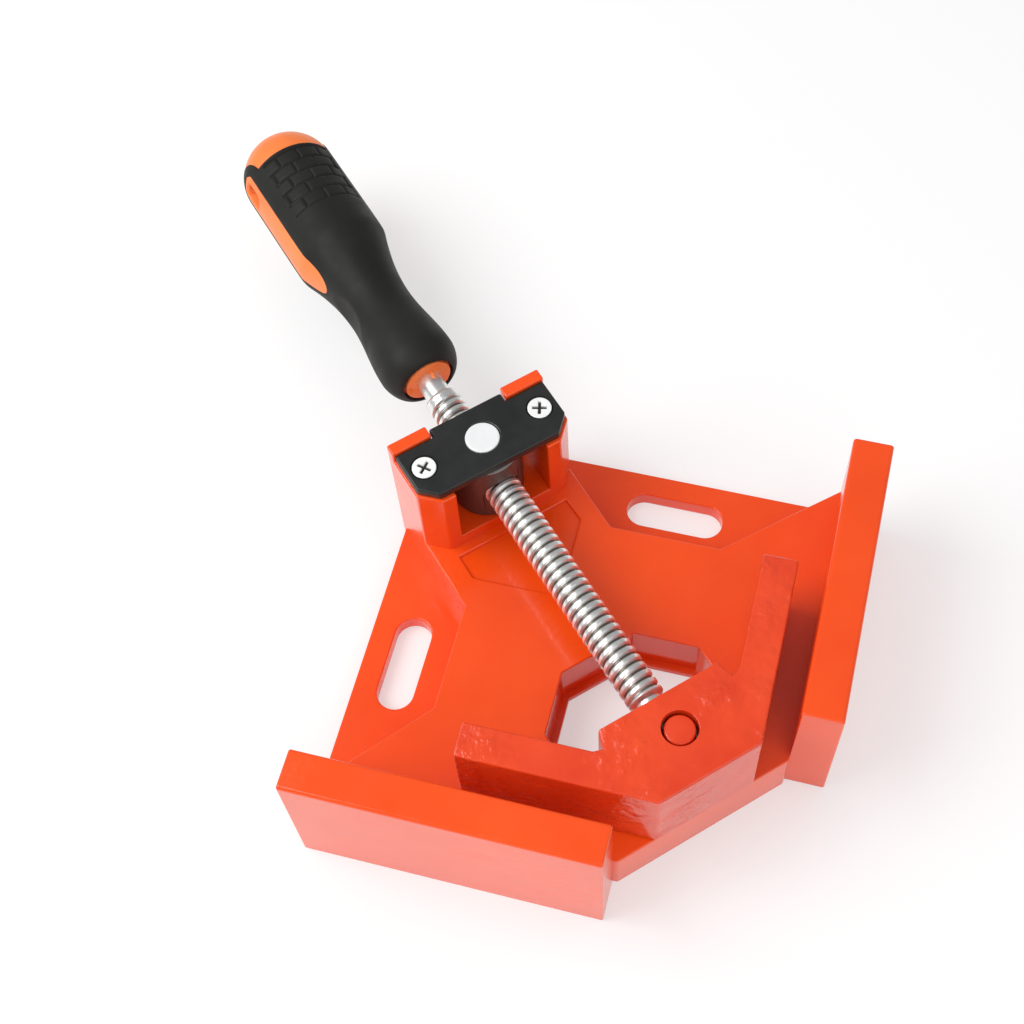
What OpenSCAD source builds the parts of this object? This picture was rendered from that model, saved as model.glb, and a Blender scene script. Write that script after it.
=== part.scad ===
// Corner clamp for gluing frames and boxes: one screw presses a floating right-angle jaw
// towards two fixed fences. X runs along one fence and Y along the other, Z is up,
// and the origin is the inner corner of the clamping faces, on the bench.

/* [Fences] */
// Length of each fixed fence
fence_length = 95; // [85:1:110]
// Height of the fences above the bench
fence_height = 53.2; // [48:0.2:60]
// Thickness of the fences
fence_thickness = 12.6; // [11:0.2:16]
// Distance from the inner corner to the near end of each fence
corner_gap = 44.5; // [40:0.5:50]
// Rounding along the top edges of the fences
fence_round = 1.2; // [0.6:0.1:2]

/* [Base] */
// Height of the deck that the boards lie on
deck_height = 20; // [18:0.5:22]
// Thickness of the low ledges at the two bench slots
ledge_height = 6; // [5:0.5:8]
// Width of the low ledges, measured from the plate's edge
ledge_width = 30.2; // [28:0.2:32]
// Where the straight edge of a ledge ends, measured from the fence
ledge_start = 34.2; // [30:0.2:38]
// How far the front corner is cut back, along each fence
corner_cut = 43; // [38:0.5:46]
// How much of the rear corner is cut off, along the screw
rear_cut = 25; // [22:0.5:28]
// Half width of the raised spine under the screw
spine_half = 27.5; // [26:0.5:30]
// How far the posts stand inside the spine's outline
post_inset = 0.15; // [0.1:0.05:0.5]
// Skin and wall thickness of the casting
wall = 4.2; // [3.5:0.1:5]
// Distance from the window's wall to the next rib under the deck
rib_space = 12; // [8:0.5:16]
// Thickness of the ribs under the deck
rib = 3.4; // [2.5:0.1:4.5]

/* [Deck window] */
// Distance from each fence to the window
window_start = 25; // [22:0.5:28]
// Width of the window
window_size = 48.5; // [44:0.5:52]
// Corner cut of the window, at the two corners under the screw
window_cut = 18.6; // [16:0.2:20]
// Corner cut of the window, at the other two corners
window_side_cut = 9; // [7:0.2:11]
// Width of the lip at the foot of the window
lip_width = 2.2; // [1.5:0.1:3]
// Height of that lip
lip_height = 3; // [2:0.2:4]

/* [Bench slots] */
// Length of each bench slot from end to end
slot_length = 32.5; // [26:0.5:36]
// Width of each bench slot
slot_width = 12; // [9:0.5:13]
// Distance from the slot's middle line to the plate's edge
slot_edge = 13.8; // [12:0.2:15]
// Distance from the slot's middle to the fence that it runs square to
slot_centre = 52.2; // [50:0.2:54]

/* [Screw housing] */
// Height of the screw axis above the bench
screw_height = 38; // [37:0.2:39]
// Half width of the gap between the two posts
post_gap = 16.5; // [15:0.1:17.5]
// Distance from the nut's axis to the front of the posts
post_front = 12.6; // [11.5:0.1:13.5]
// Distance from the nut's axis to the back of the posts
post_back = 12.7; // [12:0.1:14]
// Size of the chamfer on the front corner of each post
post_chamfer = 6.2; // [5:0.1:7]
// Height of the posts above the bench
post_height = 51; // [50.4:0.1:52]
// Height of the floor between the posts
saddle_height = 24.8; // [24:0.1:25.4]
// Thickness of the raised stops behind the cover plate
stop_depth = 4.1; // [3.5:0.1:4.5]
// Height of those stops above the posts
stop_height = 4.2; // [3.6:0.1:5]
// Half width of the gap between those stops
stop_gap = 13.6; // [12.6:0.1:14.4]
// Depth of the sunk panel in front of the posts
panel_depth = 1.2; // [0.6:0.1:2]
// Distance from the posts to that panel
panel_gap = 3.6; // [2.5:0.1:5]
// Half width of that panel
panel_half = 20.3; // [17:0.1:22]
// Length of the panel's straight sides
panel_side = 8.8; // [6:0.2:10]

/* [Cover plate and nut] */
// Thickness of the cover plate over the nut
cover_thickness = 3.2; // [2.6:0.1:3.8]
// How far the cover plate stays inside the posts' outline
cover_inset = 0.5; // [0.3:0.1:1.2]
// How far its front edge lies behind the front of the posts
cover_front = 1.3; // [0.8:0.1:2]
// How far its rear edge lies in front of the back of the posts
cover_rear = 1; // [0.5:0.1:1.5]
// Chamfer on its front corners
cover_chamfer = 5.4; // [4.5:0.1:6]
// Diameter of the cover screws' heads
cover_head = 8.8; // [7.5:0.1:9.6]
// Height of the straight rim of those heads
head_rim = 0.4; // [0.2:0.1:0.8]
// Diameter of the cover screws' shanks
cover_shank = 4.6; // [4:0.1:5]
// Length of the cover screws
cover_screw_length = 16; // [12:0.5:20]
// Distance from the outer face of each post to its cover screw
cover_screw_inset = 6.4; // [5.6:0.1:7]
// Diameter of the swivel nut's body
nut_diameter = 24; // [21:0.5:26]
// Diameter of the nut's two journals
nut_journal = 11.1; // [9:0.1:12]
// Depth of the lower journal's seat in the casting
nut_seat = 8; // [6:0.5:9]

/* [Screw] */
// Outside diameter of the screw's thread
thread_diameter = 12; // [11:0.1:13]
// Travel for one turn of the screw
thread_pitch = 3; // [2:0.5:4]
// Length of the threaded part
thread_length = 129; // [122:1:145]
// Length of the cone at each end of the thread
thread_cone = 1; // [0.6:0.1:1.6]
// Diameter of the plain shank in front of the handle
shank_diameter = 8.6; // [8:0.1:10]
// Visible length of that shank
shank_gap = 6.5; // [4:0.5:10]
// How far the shank goes into the handle
shank_grip = 75; // [55:1:90]
// Diameter of the neck between the thread and the pivot
neck_diameter = 9; // [8.4:0.1:9.6]
// Diameter of the journal that turns in the pivot
journal_diameter = 7; // [6:0.1:7.4]
// Plain neck that shows between the jaw and the thread
neck_length = 4.5; // [3:0.5:6]
// Length of the screw's tip past the retaining ring
tip_length = 1.6; // [1:0.1:2]
// Depth of the retaining ring's groove
ring_groove = 0.6; // [0.4:0.1:0.9]
// Thickness of the retaining ring on the journal
ring_thickness = 1.2; // [0.8:0.1:1.6]
// Outside diameter of the retaining ring
ring_diameter = 10.4; // [9.4:0.1:10.8]

/* [Floating jaw] */
// Gap between the jaw and the fences as drawn
board_gap = 9; // [7:0.5:14]
// Height of the jaw's top above the bench
jaw_top = 52.5; // [51.5:0.2:54]
// Gap under the jaw
jaw_lift = 0.6; // [0.4:0.1:1]
// Distance from the jaw's own corner to the ends of its arms
jaw_reach = 84.4; // [78:0.2:90]
// Thickness of the jaw's arms
jaw_arm = 10.9; // [10:0.1:13]
// Distance from the jaw's own corner to its front chamfer, along each arm
jaw_chamfer = 24.3; // [22:0.2:26]
// Distance from the jaw's own corner to the pivot, along each arm
jaw_pivot = 23.5; // [22.6:0.1:24.4]
// Distance from the pivot to the straight back edge of the web
jaw_web = 11.6; // [11:0.1:12.6]
// Half width of that back edge
jaw_web_half = 20.4; // [18:0.1:22]
// Depth of the notch between the web and each arm
jaw_notch = 5.6; // [4:0.1:6.5]
// How much wider the notches make the web at their bottom
notch_flare = 1.5; // [1:0.1:2.5]
// Wall thickness of the jaw casting
jaw_wall = 3.6; // [3:0.1:4]
// Diameter of the upright pivot
pivot_diameter = 10.9; // [10.4:0.1:12]
// How far the pivot's top lies below the jaw's top
pivot_sink = 2; // [1:0.1:3]

/* [Handle] */
// Length of the handle
handle_length = 120; // [110:0.5:130]
// Radius of the bare disc on the handle's front face
nose_radius = 8.4; // [7:0.1:9]
// Width of the soft lip around that disc
face_lip = 0.8; // [0.5:0.1:1.5]
// Radius of the collar behind the front face
collar_radius = 13.6; // [12:0.1:15]
// Radius of the waist
waist_radius = 11.4; // [10.6:0.1:12.2]
// Radius of the swelling in the palm
palm_radius = 16.8; // [15.5:0.1:18]
// Depth of that bare disc
disc_depth = 1.6; // [1:0.1:2.4]
// Thickness of the soft cover
cover_depth = 3; // [2.2:0.1:3.6]
// Length of the bare cap at the rear end
cap_length = 16.8; // [15:0.2:19]
// Half width of the bare strip on each side
strip_half = 5.6; // [5:0.1:6.6]
// Length of the bare strips
strip_length = 56.6; // [50:0.2:60]
// Length of the rounded point of each strip
strip_point = 14; // [10:0.5:20]
// Corner cut at the rear end of each strip
strip_corner = 2; // [1:0.1:3]
// How far the strips reach past the edge of the cap
strip_past = 3.4; // [2.6:0.1:4]
// Half width of the soft tongue between the cap and a strip
tongue_half = 9.6; // [8.4:0.1:10.6]
// How far the tongues reach past the edge of the cap
tongue_past = 6; // [5:0.1:7]
// Length of the hanging hole
hang_length = 9.2; // [8:0.2:10.4]
// Width of the hanging hole
hang_width = 5.6; // [4.8:0.2:6.4]
// Corner radius of the hanging hole
hang_corner = 1.8; // [1:0.1:2.2]
// Distance from the rear end of a strip to the middle of the hanging hole
hang_inset = 6.2; // [5.8:0.1:9]
// Radius of the thumb hollows at the waist, along the handle
thumb_radius = 28; // [24:0.5:32]
// Depth of the thumb hollows
thumb_depth = 1; // [0.5:0.1:1.4]
// Turn of the handle about the screw, as drawn
handle_turn = 12; // [0:1:45]

/* [Fits] */
// Radial clearance of every turning pair
turn_clear = 0.05; // [0.02:0.01:0.1]
// Clearance between faces that are screwed or dropped together
seat_clear = 0.05; // [0.02:0.01:0.1]
// End clearance of turning pieces
end_clear = 0.35; // [0.2:0.05:0.6]
// Gap between the screw's shoulder and the pivot
shoulder_clear = 0.15; // [0.1:0.05:0.3]
// Room around the screw inside the jaw
swing_clear = 1.5; // [1.2:0.1:2]

/* [Hidden] */
$fn = 64;
diag = sqrt(2);
overlap = 1;
plate_size = corner_gap + fence_length;
back = plate_size * diag - rear_cut;
nut_at = back - post_back;
posts_from = nut_at - post_front;
post_half = spine_half - post_inset;
posts_to = back - post_inset;
stops_from = posts_to - stop_depth;
cover_screw_side = post_half - cover_screw_inset;
deck_edge = plate_size - ledge_width;
cavity_top = deck_height - wall;
cover_top = post_height + cover_thickness;
nut_low = saddle_height + end_clear;
nut_high = post_height - end_clear;
jaw_low = deck_height + jaw_lift;
jaw_in = board_gap + jaw_arm;
pivot_at = (board_gap + jaw_pivot) * diag;
web_at = pivot_at + jaw_web;
notch_at = web_at - jaw_notch;
pivot_r = pivot_diameter / 2;
pivot_top = jaw_top - pivot_sink;
shoulder_at = pivot_at + pivot_r + shoulder_clear;
thread_at = web_at + neck_length;
shank_at = thread_at + thread_length;
handle_at = shank_at + shank_gap;
ring_at = pivot_at - pivot_r - end_clear - ring_thickness;
tip_at = ring_at - tip_length;
groove_r = journal_diameter / 2 - ring_groove;
channel_r = max(ring_diameter, neck_diameter + 1) / 2 + swing_clear / 2;
boss_r = pivot_r + jaw_wall;
face_radius = nose_radius + face_lip;
collar_core = collar_radius - cover_depth - face_lip;
collar_at = 0.07 * handle_length;
waist_at = 0.28 * handle_length;
thumb_at = 0.29 * handle_length;
palm_from = 0.517 * handle_length;
butt_from = 0.867 * handle_length;
cap_from = handle_length - cap_length;
strip_to = cap_from + strip_past;
strip_from = strip_to - strip_length;
core_to = cap_from + tongue_past + cover_depth;
hang_at = strip_to - hang_inset;

function swap(p) = [p[1], p[0]];
function turned(d, w) = [(d + w) / diag, (d - w) / diag];
function unit(v) = v / norm(v);
function left_of(v) = [-v[1], v[0]];
function side_of(pts, i) = left_of(unit(pts[(i + 1) % len(pts)] - pts[i]));
function inset(pts, t) = [
  for (i = [0 : len(pts) - 1])
    let (a = side_of(pts, (i + len(pts) - 1) % len(pts)), b = side_of(pts, i))
      pts[i] + t * (a + b) / (1 + a * b)
];
function mirrored(half) = concat(half, [for (i = [len(half) - 1 : -1 : 0]) swap(half[i])]);
function ease(t) = (1 - cos(180 * t)) / 2;
function nose_r(t) = face_radius + (collar_radius - face_radius) * sqrt(1 - (1 - t) * (1 - t));
function butt_r(t) = palm_radius * sqrt(1 - t * t);
function mix(a, b, t) = a + (b - a) * t;

deck_outline = mirrored([
  [corner_cut, 0],
  [plate_size, 0],
  [deck_edge, ledge_start],
  [deck_edge, deck_edge - spine_half * diag],
  turned(back, spine_half)
]);
plate_outline = mirrored([
  [corner_cut, 0],
  [plate_size, 0],
  [plate_size, (back - overlap) * diag - plate_size]
]);
window_end = window_start + window_size;
window = mirrored([
  [window_start + window_cut, window_start],
  [window_end - window_side_cut, window_start],
  [window_end, window_start + window_side_cut],
  [window_end, window_end - window_cut]
]);
jaw_outline = mirrored([
  [board_gap + jaw_chamfer, board_gap],
  [board_gap + jaw_reach, board_gap],
  [board_gap + jaw_reach, jaw_in],
  [notch_at * diag - jaw_in + notch_flare, jaw_in],
  turned(notch_at, jaw_web_half + notch_flare),
  turned(web_at, jaw_web_half)
]);
handle_profile = concat(
  [for (i = [0 : 6]) [collar_at * (1 - cos(15 * i)), nose_r(1 - cos(15 * i))]],
  [for (i = [1 : 8]) [mix(collar_at, waist_at, i / 8), mix(collar_radius, waist_radius, ease(i / 8))]],
  [for (i = [1 : 10]) [mix(waist_at, palm_from, i / 10), mix(waist_radius, palm_radius, pow(i / 10, 2))]],
  [for (i = [0 : 9]) [mix(butt_from, handle_length, sin(10 * i)), max(1, butt_r(sin(10 * i)))]]
);
core_profile = [
  for (p = handle_profile)
    if (p[0] <= core_to && p[0] >= collar_at) [p[0], p[1] - cover_depth]
];

module both_sides() {
  children();
  mirror([1, -1, 0]) children();
}

module along_screw(d = 0) {
  rotate([0, 0, 45]) translate([d, 0, 0]) children();
}

module on_axis(d = 0) {
  along_screw(d) translate([0, 0, screw_height]) rotate([0, 90, 0]) children();
}

module slot_shape(length, width) {
  square([length - width, width], center = true);
  for (side = [-1, 1]) translate([side * (length - width) / 2, 0]) circle(d = width);
}

module fence_section() {
  translate([-fence_thickness, 0]) square([fence_thickness, fence_height - fence_round]);
  square([overlap, ledge_height / 2]);
  translate([fence_round - fence_thickness, 0])
    square([fence_thickness - 2 * fence_round, fence_height]);
  translate([fence_round - fence_thickness, fence_height - fence_round]) circle(fence_round);
  translate([-fence_round, fence_height - fence_round]) circle(fence_round);
}

module fence() {
  translate([corner_gap, 0, 0])
    rotate([90, 0, 90]) linear_extrude(fence_length) fence_section();
}

module fence_core() {
  translate([corner_gap + wall, wall - fence_thickness, -overlap])
    cube([fence_length - 2 * wall, fence_thickness - 2 * wall, fence_height - wall + overlap]);
}

module post() {
  linear_extrude(post_height) polygon([
    [posts_from, post_gap],
    [posts_from, post_half - post_chamfer],
    [posts_from + post_chamfer, post_half],
    [posts_to, post_half],
    [posts_to, stop_gap],
    [stops_from, stop_gap],
    [stops_from, post_gap]
  ]);
  translate([stops_from, stop_gap, 0])
    cube([stop_depth, post_half - stop_gap, post_height + stop_height]);
}

module pedestal() {
  linear_extrude(saddle_height) polygon([
    [posts_from, post_chamfer - post_half],
    [posts_from, post_half - post_chamfer],
    [posts_from + post_chamfer, post_half],
    [posts_to, post_half],
    [posts_to, -post_half],
    [posts_from + post_chamfer, -post_half]
  ]);
}

module housing() {
  pedestal();
  for (side = [0, 1]) mirror([0, side, 0]) post();
}

module panel() {
  end = posts_from - panel_gap;
  polygon([
    [end, panel_half],
    [end - panel_side, panel_half],
    [end - panel_side - panel_half, 0],
    [end - panel_side, -panel_half],
    [end, -panel_half]
  ]);
}

module ribs() {
  polygon(inset(window, -wall));
  both_sides() translate([window_end + wall + rib_space, 0]) square([rib, plate_size]);
  both_sides() translate([window_start + window_size / 2, 0]) square([rib, window_start]);
  rotate(45) translate([0, -rib / 2]) square([back, rib]);
  rotate(45) translate([posts_from - 2.5 * rib_space, -spine_half]) square([rib, 2 * spine_half]);
  rotate(45) translate([posts_from - rib, -spine_half]) square([rib, 2 * spine_half]);
  rotate(45) translate([nut_at, 0]) circle(nut_journal / 2 + wall);
}

module underside() {
  translate([0, 0, -overlap]) linear_extrude(cavity_top + overlap) difference() {
    polygon(inset(deck_outline, wall));
    ribs();
  }
}

module clamp_body() {
  color("orangered") difference() {
    union() {
      linear_extrude(ledge_height) polygon(plate_outline);
      linear_extrude(deck_height) polygon(deck_outline);
      both_sides() fence();
      along_screw() housing();
    }
    translate([0, 0, lip_height]) linear_extrude(deck_height) polygon(window);
    translate([0, 0, -overlap]) linear_extrude(deck_height) polygon(inset(window, lip_width));
    both_sides() translate([plate_size - slot_edge, slot_centre, -overlap])
      rotate(90) linear_extrude(ledge_height + 2 * overlap) slot_shape(slot_length, slot_width);
    along_screw() translate([0, 0, deck_height - panel_depth])
      linear_extrude(panel_depth + overlap) panel();
    underside();
    both_sides() fence_core();
    along_screw(nut_at) translate([0, 0, saddle_height - nut_seat])
      cylinder(h = nut_seat + overlap, r = nut_journal / 2 + turn_clear);
    for (side = [-1, 1]) along_screw(nut_at) translate([0, side * cover_screw_side, 0])
      translate([0, 0, cover_top - cover_screw_length - overlap])
        cylinder(h = cover_screw_length, r = cover_shank / 2 + seat_clear);
  }
}

module screw_blank(extra) {
  head_depth = (cover_head - cover_shank) / 2;
  translate([0, 0, -cover_screw_length]) cylinder(h = cover_screw_length, r = cover_shank / 2 + extra);
  translate([0, 0, -head_depth - head_rim])
    cylinder(h = head_depth, r1 = cover_shank / 2 + extra, r2 = cover_head / 2 + extra);
  translate([0, 0, -head_rim])
    cylinder(h = head_rim + (extra > 0 ? overlap : 0), r = cover_head / 2 + extra);
}

module cover_plate() {
  front = posts_from + cover_front;
  half = post_half - cover_inset;
  color([0.2, 0.2, 0.2]) difference() {
    along_screw() translate([0, 0, post_height]) linear_extrude(cover_thickness) polygon([
      [front, cover_chamfer - half],
      [front, half - cover_chamfer],
      [front + cover_chamfer, half],
      [stops_from - seat_clear, half],
      [stops_from - seat_clear, stop_gap - cover_inset],
      [posts_to - cover_rear, stop_gap - cover_inset],
      [posts_to - cover_rear, cover_inset - stop_gap],
      [stops_from - seat_clear, cover_inset - stop_gap],
      [stops_from - seat_clear, -half],
      [front + cover_chamfer, -half]
    ]);
    along_screw(nut_at) translate([0, 0, post_height - overlap])
      cylinder(h = cover_thickness + 2 * overlap, r = nut_journal / 2 + turn_clear);
    for (side = [-1, 1]) along_screw(nut_at)
      translate([0, side * cover_screw_side, cover_top]) screw_blank(seat_clear);
  }
}

module cover_screw_left() {
  color([0.8, 0.8, 0.8]) along_screw(nut_at) translate([0, cover_screw_side, cover_top]) screw_blank(0);
}

module cover_screw_right() {
  color([0.8, 0.8, 0.8]) along_screw(nut_at) translate([0, -cover_screw_side, cover_top]) screw_blank(0);
}

module swivel_nut() {
  color([0.75, 0.75, 0.72]) difference() {
    along_screw(nut_at) union() {
      translate([0, 0, nut_low]) cylinder(h = nut_high - nut_low, d = nut_diameter);
      translate([0, 0, saddle_height - nut_seat + end_clear])
        cylinder(h = cover_top - saddle_height + nut_seat - end_clear, d = nut_journal);
    }
    on_axis(nut_at - nut_diameter)
      cylinder(h = 2 * nut_diameter, r = thread_diameter / 2 + turn_clear);
  }
}

module lead_screw() {
  color([0.75, 0.75, 0.75]) difference() {
    union() {
      on_axis(tip_at) cylinder(h = shoulder_at - tip_at + overlap, d = journal_diameter);
      on_axis(shoulder_at) cylinder(h = thread_at - shoulder_at + 2 * thread_cone, d = neck_diameter);
      on_axis(thread_at) cylinder(h = thread_cone, d1 = neck_diameter, d2 = thread_diameter);
      on_axis(thread_at + thread_cone) cylinder(h = thread_length - 2 * thread_cone, d = thread_diameter);
      on_axis(shank_at - thread_cone) cylinder(h = thread_cone, d1 = thread_diameter, d2 = shank_diameter);
      on_axis(shank_at - 2 * thread_cone)
        cylinder(h = 2 * thread_cone + shank_gap + shank_grip - end_clear, d = shank_diameter);
    }
    on_axis(ring_at - seat_clear) difference() {
      cylinder(h = ring_thickness + 2 * seat_clear, d = journal_diameter + overlap);
      translate([0, 0, -overlap]) cylinder(h = ring_thickness + 3 * overlap, r = groove_r);
    }
  }
}

module retaining_ring() {
  color([0.3, 0.3, 0.3]) on_axis(ring_at) difference() {
    cylinder(h = ring_thickness, d = ring_diameter);
    translate([0, 0, -overlap]) cylinder(h = ring_thickness + 2 * overlap, r = groove_r + seat_clear);
  }
}

module pivot_pin() {
  color("orangered") difference() {
    along_screw(pivot_at) translate([0, 0, jaw_low + 1])
      cylinder(h = pivot_top - jaw_low - 1, d = pivot_diameter);
    on_axis(pivot_at - pivot_diameter)
      cylinder(h = 2 * pivot_diameter, r = journal_diameter / 2 + turn_clear);
  }
}

module jaw_core() {
  difference() {
    polygon(inset(jaw_outline, jaw_wall));
    rotate(45) translate([pivot_at, 0]) circle(boss_r);
    rotate(45) translate([pivot_at, -rib / 2]) square([2 * jaw_web, rib]);
    both_sides() translate([board_gap + 0.72 * jaw_reach, 0]) square([rib, jaw_in]);
  }
}

module floating_jaw() {
  color("orangered") difference() {
    translate([0, 0, jaw_low]) linear_extrude(jaw_top - jaw_low) polygon(jaw_outline);
    translate([0, 0, jaw_low - overlap])
      linear_extrude(jaw_top - jaw_low - jaw_wall + overlap) jaw_core();
    along_screw(pivot_at) translate([0, 0, jaw_low - overlap])
      cylinder(h = jaw_top - jaw_low + 2 * overlap, r = pivot_r + turn_clear);
    on_axis(pivot_at - boss_r) cylinder(h = boss_r + jaw_web + overlap, r = channel_r);
  }
}

module handle_body() {
  difference() {
    rotate_extrude() rotate(90) mirror([0, 1])
      polygon(concat([[0, 0]], handle_profile, [[handle_length, 0]]));
    for (side = [0, 180]) rotate(handle_turn + side)
      translate([0, waist_radius - thumb_depth + thumb_radius, thumb_at])
        rotate([0, 90, 0]) cylinder(h = 4 * waist_radius, r = thumb_radius, center = true);
  }
}

module strip_region() {
  upper = [for (i = [0 : 8]) [strip_from + strip_point * (1 - cos(11.25 * i)), strip_half * sin(11.25 * i)]];
  lower = [for (i = [8 : -1 : 1]) [upper[i][0], -upper[i][1]]];
  polygon(concat(
    upper,
    [[strip_to - strip_corner, strip_half], [strip_to, strip_half - strip_corner]],
    [[strip_to, strip_corner - strip_half], [strip_to - strip_corner, -strip_half]],
    lower
  ));
}

module tongue_region() {
  translate([cap_from - overlap, -tongue_half]) square([tongue_past + overlap, 2 * tongue_half]);
}

module hang_hole() {
  across_corners = hang_width / 2 - hang_corner;
  translate([hang_at, 0]) {
    square([hang_length, 2 * across_corners], center = true);
    for (side = [-1, 1]) translate([0, side * across_corners]) slot_shape(hang_length, 2 * hang_corner);
  }
}

module across() {
  rotate(handle_turn) rotate([0, -90, 0]) rotate([90, 0, 0])
    linear_extrude(2 * palm_radius + 2 * overlap, center = true) children();
}

module core_inside() {
  rotate_extrude() rotate(90) mirror([0, 1]) polygon(concat(
    [[0, 0], [0, nose_radius], [disc_depth, nose_radius], [disc_depth, collar_core]],
    [[collar_at, collar_core]],
    core_profile,
    [[core_to, 0]]
  ));
}

module cap_zone() {
  difference() {
    translate([0, 0, cap_from]) cylinder(h = cap_length + overlap, r = palm_radius + overlap);
    across() tongue_region();
  }
}

module cover_zone() {
  translate([0, 0, -overlap]) cylinder(h = cap_from + overlap, r = palm_radius + overlap);
  across() tongue_region();
}

module handle_core() {
  color("orange") difference() {
    on_axis(handle_at) intersection() {
      handle_body();
      union() {
        core_inside();
        cap_zone();
        across() strip_region();
      }
    }
    on_axis(handle_at - overlap) cylinder(h = shank_grip + overlap, d = shank_diameter);
    on_axis(handle_at) across() hang_hole();
  }
}

module handle_cover() {
  color([0.15, 0.15, 0.15]) difference() {
    on_axis(handle_at) intersection() {
      handle_body();
      cover_zone();
    }
    on_axis(handle_at) core_inside();
    on_axis(handle_at) across() strip_region();
  }
}

clamp_body();
cover_plate();
cover_screw_left();
cover_screw_right();
swivel_nut();
lead_screw();
retaining_ring();
pivot_pin();
floating_jaw();
handle_core();
handle_cover();
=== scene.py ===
import math

import bmesh
import bpy
import numpy as np
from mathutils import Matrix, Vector
from mathutils.geometry import delaunay_2d_cdt


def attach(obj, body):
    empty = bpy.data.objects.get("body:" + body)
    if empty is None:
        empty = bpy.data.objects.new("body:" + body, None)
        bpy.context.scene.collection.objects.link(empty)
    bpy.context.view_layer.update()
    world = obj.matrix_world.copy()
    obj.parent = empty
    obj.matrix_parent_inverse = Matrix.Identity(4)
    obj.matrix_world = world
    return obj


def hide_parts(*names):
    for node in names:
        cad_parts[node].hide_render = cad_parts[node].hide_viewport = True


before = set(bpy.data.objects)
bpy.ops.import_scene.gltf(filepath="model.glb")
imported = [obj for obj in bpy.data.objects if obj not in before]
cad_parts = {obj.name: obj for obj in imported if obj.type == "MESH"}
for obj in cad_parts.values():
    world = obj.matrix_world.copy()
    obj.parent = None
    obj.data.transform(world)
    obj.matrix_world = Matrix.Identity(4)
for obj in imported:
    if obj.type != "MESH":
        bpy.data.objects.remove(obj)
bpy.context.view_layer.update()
print("clamp frame loaded:", len(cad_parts), "CAD nodes")

mm = 0.001
halfRoot = math.sqrt(0.5)
alongScrew = np.array([halfRoot, halfRoot, 0.0])   # from the corner towards the handle
acrossScrew = np.array([halfRoot, -halfRoot, 0.0])  # to the right, seen from the corner
upwards = np.array([0.0, 0.0, 1.0])
screwHeight = 38.0


# node helpers for the finishes

def newFinish(name):
    mat = bpy.data.materials.new(name)
    mat.use_nodes = True
    tree = mat.node_tree
    return mat, tree, tree.nodes["Principled BSDF"]


def node(tree, kind, **settings):
    made = tree.nodes.new(kind)
    for key, value in settings.items():
        if key in made.inputs:
            made.inputs[key].default_value = value
        else:
            setattr(made, key, value)
    return made


def objectSpace(tree):
    return node(tree, "ShaderNodeTexCoord").outputs["Object"]


def noise(tree, scale, detail=3.0, roughness=0.55):
    tex = node(tree, "ShaderNodeTexNoise")
    tex.inputs["Scale"].default_value = scale
    tex.inputs["Detail"].default_value = detail
    tex.inputs["Roughness"].default_value = roughness
    tree.links.new(objectSpace(tree), tex.inputs["Vector"])
    return tex.outputs["Fac"]


def ramp(tree, source, stops):
    made = node(tree, "ShaderNodeValToRGB")
    bands = made.color_ramp.elements
    while len(bands) < len(stops):
        bands.new(0.5)
    for band, (at, colour) in zip(bands, stops):
        band.position = at
        band.color = (*colour, 1.0)
    tree.links.new(source, made.inputs["Fac"])
    return made.outputs["Color"]


def mapRange(tree, source, low, high, toLow, toHigh):
    made = node(tree, "ShaderNodeMapRange")
    made.inputs["From Min"].default_value = low
    made.inputs["From Max"].default_value = high
    made.inputs["To Min"].default_value = toLow
    made.inputs["To Max"].default_value = toHigh
    tree.links.new(source, made.inputs["Value"])
    return made.outputs["Result"]


def mixColours(tree, share, first, second):
    made = node(tree, "ShaderNodeMix", data_type="RGBA")
    tree.links.new(share, made.inputs[0])
    for socket, colour in ((made.inputs[6], first), (made.inputs[7], second)):
        if isinstance(colour, tuple):
            socket.default_value = (*colour, 1.0)
        else:
            tree.links.new(colour, socket)
    return made.outputs[2]


def bump(tree, height, strength, distance, below=None):
    made = node(tree, "ShaderNodeBump")
    made.inputs["Strength"].default_value = strength
    made.inputs["Distance"].default_value = distance
    tree.links.new(height, made.inputs["Height"])
    if below:
        tree.links.new(below, made.inputs["Normal"])
    return made.outputs["Normal"]


# finishes

paintLayers = dict(roughScale=90.0, coatRoughness=0.05, castDistance=0.0006, patch=(0.48, 0.64),
                   lumpDistance=0.0012, peelScale=520.0, peelDistance=0.00025)


def glossPaint(name, settings):
    mat, tree, shader = newFinish(name)
    tint = noise(tree, settings["tintScale"])
    colour = ramp(tree, tint, [(0.3, settings["deep"]), (0.7, settings["bright"])])
    tree.links.new(colour, shader.inputs["Base Color"])
    rough = mapRange(tree, noise(tree, paintLayers["roughScale"], 4.0), 0.3, 0.7, *settings["roughness"])
    tree.links.new(rough, shader.inputs["Roughness"])
    shader.inputs["Coat Weight"].default_value = settings["coat"]
    shader.inputs["Coat Roughness"].default_value = paintLayers["coatRoughness"]
    cast = bump(tree, noise(tree, settings["castScale"], 2.0), settings["castStrength"],
                paintLayers["castDistance"])
    # lumps of the rough casting, only in patches
    lumps = node(tree, "ShaderNodeMath", operation="MULTIPLY")
    patches = mapRange(tree, noise(tree, settings["patchScale"]), *paintLayers["patch"], 0.0, 1.0)
    tree.links.new(patches, lumps.inputs[0])
    tree.links.new(noise(tree, settings["lumpScale"], 3.0), lumps.inputs[1])
    cast = bump(tree, lumps.outputs["Value"], settings["lumpStrength"], paintLayers["lumpDistance"], cast)
    peel = bump(tree, noise(tree, paintLayers["peelScale"], 2.0), settings["peelStrength"],
                paintLayers["peelDistance"], cast)
    tree.links.new(peel, shader.inputs["Normal"])
    return mat


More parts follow.
